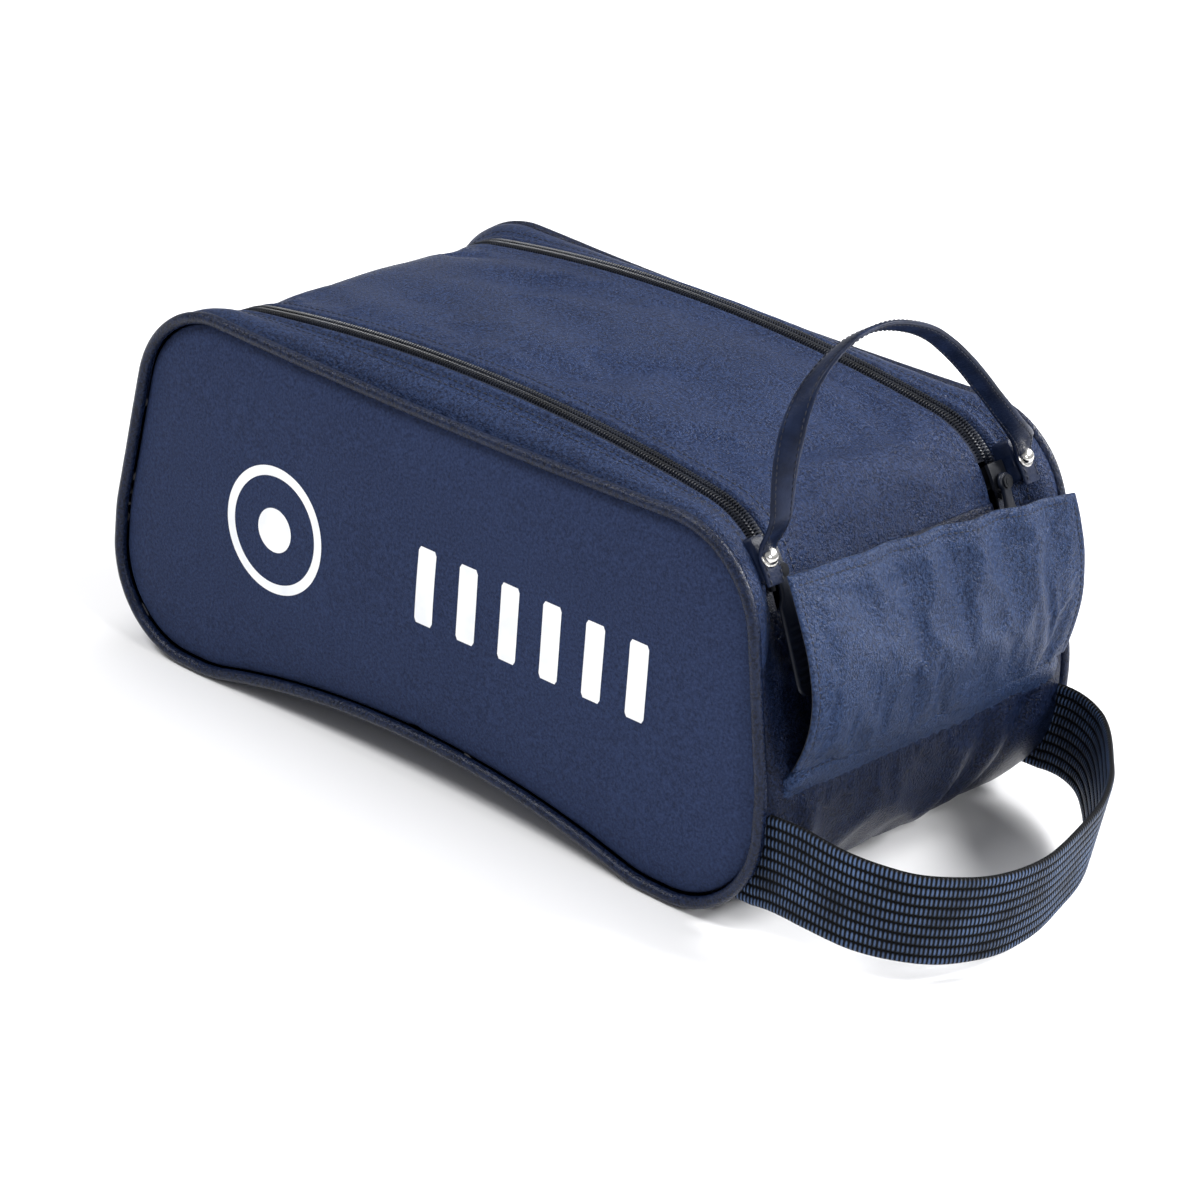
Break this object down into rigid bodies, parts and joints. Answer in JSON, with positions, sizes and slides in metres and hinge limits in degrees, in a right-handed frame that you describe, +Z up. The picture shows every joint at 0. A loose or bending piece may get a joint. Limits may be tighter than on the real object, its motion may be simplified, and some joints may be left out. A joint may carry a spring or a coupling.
{
  "type": "golf shoe bag",
  "caption": "Boxy zipped shoe bag with piped padded side panels, a hinged zip-round lid, an end flap, a riveted hang loop and a webbing carry handle.",
  "frame": {"origin": "centre of the whole object in plan, on the surface it rests on", "axes": "+X runs along the bag towards the end with the handle and flap, +Y towards the back panel, +Z up"},
  "size_m": [0.4147, 0.1862, 0.2239],
  "materials": {
    "panel_fabric": "woven twill, matt",
    "body_fabric": "fine woven, soft sheen",
    "piping_fabric": "smooth coated, satin",
    "filler": "cotton cord, matt",
    "foam": "closed-cell foam, matt",
    "lining_fabric": "plain weave, matt",
    "tape": "herringbone zip tape, matt",
    "coil": "nylon coil, semi-gloss",
    "black_metal": "black lacquer",
    "grip_rubber": "moulded, matt",
    "strap_leather": "smooth coated, satin",
    "nickel": "polished nickel",
    "webbing": "ribbed webbing, slight sheen",
    "board": "pressed board, matt",
    "ink": "screen print, matt"
  },
  "bodies": {
    "bag": {"back_gusset": "body_fabric", "back_handle_end": "webbing", "back_loop_end": "strap_leather", "back_loop_pad": "strap_leather", "back_panel": "panel_fabric", "back_panel_foam": "foam", "back_piping": "piping_fabric", "back_piping_cord": "filler", "back_rivet": "nickel", "back_rivet_washer": "nickel", "back_zip_coil_bag": "coil", "back_zip_stops": "black_metal", "back_zip_tape_bag": "tape", "base_board": "board", "base_panel": "body_fabric", "flap_seam_strip": "body_fabric", "front_gusset": "body_fabric", "front_handle_end": "webbing", "front_loop_end": "strap_leather", "front_loop_pad": "strap_leather", "front_panel": "panel_fabric", "front_panel_foam": "foam", "front_piping": "piping_fabric", "front_piping_cord": "filler", "front_rivet": "nickel", "front_rivet_washer": "nickel", "front_zip_coil_bag": "coil", "front_zip_stops": "black_metal", "front_zip_tape_bag": "tape", "left_end_panel": "body_fabric", "lining": "lining_fabric", "print_bars": "ink", "print_roundel": "ink", "right_end_panel": "body_fabric"},
    "lid": {"lid_panel": "body_fabric", "lid_foam": "foam", "lid_lining": "lining_fabric", "lid_edge_binding": "tape", "front_zip_tape_lid": "tape", "front_zip_coil_lid": "coil", "back_zip_tape_lid": "tape", "back_zip_coil_lid": "coil"},
    "flap": {"end_flap": "body_fabric", "end_flap_lining": "lining_fabric"},
    "hang_loop": {"hang_loop": "strap_leather"},
    "carry_handle": {"carry_handle": "webbing"},
    "front_slider": {"front_slider": "black_metal"},
    "back_slider": {"back_slider": "black_metal"},
    "front_puller": {"front_puller": "grip_rubber"},
    "back_puller": {"back_puller": "grip_rubber"}
  },
  "joints": [
    {"name": "lid_open", "type": "hinge", "parent": "bag", "child": "lid", "pos_m": [-0.1844, 0, 0.1165], "axis": [0, -1, 0], "range_deg": [0, 105]},
    {"name": "flap_fold", "type": "hinge", "parent": "bag", "child": "flap", "pos_m": [0.1378, 0, 0.0656], "axis": [0, 1, 0], "range_deg": [0, 100]},
    {"name": "hang_loop_swing", "type": "hinge", "parent": "bag", "child": "hang_loop", "pos_m": [0.1163, 0, 0.151], "axis": [0, 1, 0], "range_deg": [-30, 110]},
    {"name": "carry_handle_swing", "type": "hinge", "parent": "bag", "child": "carry_handle", "pos_m": [0.1566, 0, 0.031], "axis": [0, 1, 0], "range_deg": [-75, 0]},
    {"name": "front_slider_run", "type": "hinge", "parent": "bag", "child": "front_slider", "pos_m": [0.0716, -0.066, 0.112], "axis": [0, -1, 0], "range_deg": [0, 20]},
    {"name": "back_slider_run", "type": "hinge", "parent": "bag", "child": "back_slider", "pos_m": [0.0716, 0.066, 0.112], "axis": [0, -1, 0], "range_deg": [0, 20]},
    {"name": "front_puller_swing", "type": "hinge", "parent": "front_slider", "child": "front_puller", "pos_m": [0.1076, -0.066, 0.13034], "axis": [0.9171, 0, 0.3987], "range_deg": [-10, 70]},
    {"name": "back_puller_swing", "type": "hinge", "parent": "back_slider", "child": "back_puller", "pos_m": [0.1076, 0.066, 0.13034], "axis": [-0.9171, 0, -0.3987], "range_deg": [-10, 70]}
  ]
}
